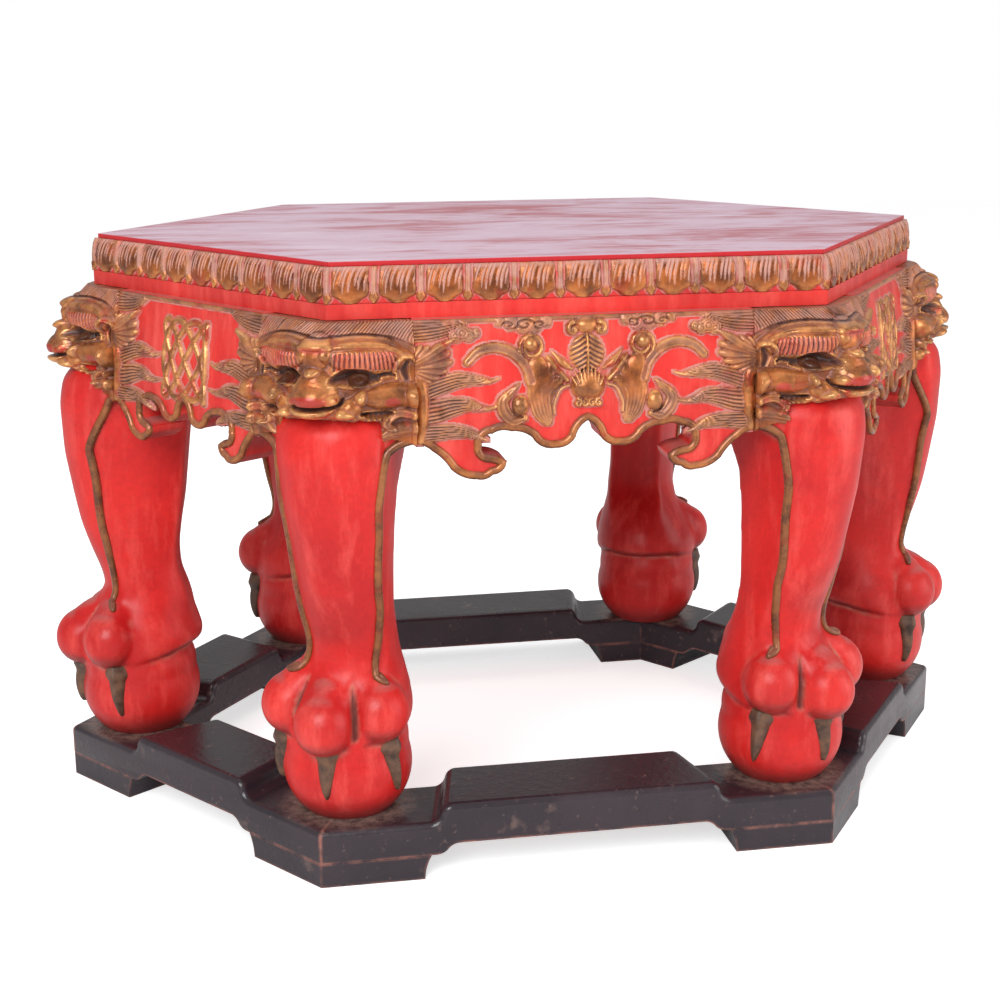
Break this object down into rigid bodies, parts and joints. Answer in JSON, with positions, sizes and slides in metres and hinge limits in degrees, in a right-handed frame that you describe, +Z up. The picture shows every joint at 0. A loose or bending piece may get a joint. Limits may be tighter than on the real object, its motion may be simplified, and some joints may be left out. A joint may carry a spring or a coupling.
{
  "type": "lacquer table",
  "caption": "Low red lacquer table with a long six-sided top, gilt petal edge, carved aprons, lion-mask cabriole legs with claw feet on balls, and a black base ring.",
  "frame": {"origin": "on the floor under the middle of the table", "axes": "+X along the long sides, to the right of someone facing the front; +Y to the back; +Z up"},
  "size_m": [0.8838, 0.63, 0.52],
  "materials": {
    "red_lacquer": "worn red lacquer, satin, darker in the recesses",
    "top_lacquer": "red lacquer with a pale pink haze, satin",
    "gilt": "rubbed gilding over brown lacquer, semi-gloss, dusty in the grooves",
    "black_lacquer": "worn black-brown lacquer, satin, bare wood at the edges",
    "bare_wood": "bare wood, matt"
  },
  "bodies": {
    "root": {"top_rail_front": "top_lacquer", "top_rail_back": "top_lacquer", "top_rail_front_left": "top_lacquer", "top_rail_front_right": "top_lacquer", "top_rail_back_left": "top_lacquer", "top_rail_back_right": "top_lacquer", "top_board_1": "top_lacquer", "top_board_2": "top_lacquer", "top_board_3": "top_lacquer", "top_board_4": "top_lacquer", "top_board_5": "top_lacquer", "top_batten_left": "bare_wood", "top_batten_right": "bare_wood", "petal_moulding_front": "gilt", "petal_moulding_back": "gilt", "petal_moulding_front_left": "gilt", "petal_moulding_front_right": "gilt", "petal_moulding_back_left": "gilt", "petal_moulding_back_right": "gilt", "waist_board_front": "red_lacquer", "waist_board_back": "red_lacquer", "waist_board_front_left": "red_lacquer", "waist_board_front_right": "red_lacquer", "waist_board_back_left": "red_lacquer", "waist_board_back_right": "red_lacquer", "apron_front": "red_lacquer", "apron_back": "red_lacquer", "apron_front_left": "red_lacquer", "apron_front_right": "red_lacquer", "apron_back_left": "red_lacquer", "apron_back_right": "red_lacquer", "leg_left": "red_lacquer", "leg_right": "red_lacquer", "leg_front_left": "red_lacquer", "leg_front_right": "red_lacquer", "leg_back_left": "red_lacquer", "leg_back_right": "red_lacquer", "base_rail_front": "black_lacquer", "base_rail_back": "black_lacquer", "base_rail_front_left": "black_lacquer", "base_rail_front_right": "black_lacquer", "base_rail_back_left": "black_lacquer", "base_rail_back_right": "black_lacquer", "foot_block_left": "black_lacquer", "foot_block_right": "black_lacquer", "foot_block_front_left": "black_lacquer", "foot_block_front_right": "black_lacquer", "foot_block_back_left": "black_lacquer", "foot_block_back_right": "black_lacquer", "top_mitre_keys": "bare_wood", "apron_tenons": "bare_wood", "base_mitre_keys": "bare_wood", "foot_pegs": "bare_wood"}
  },
  "joints": []
}
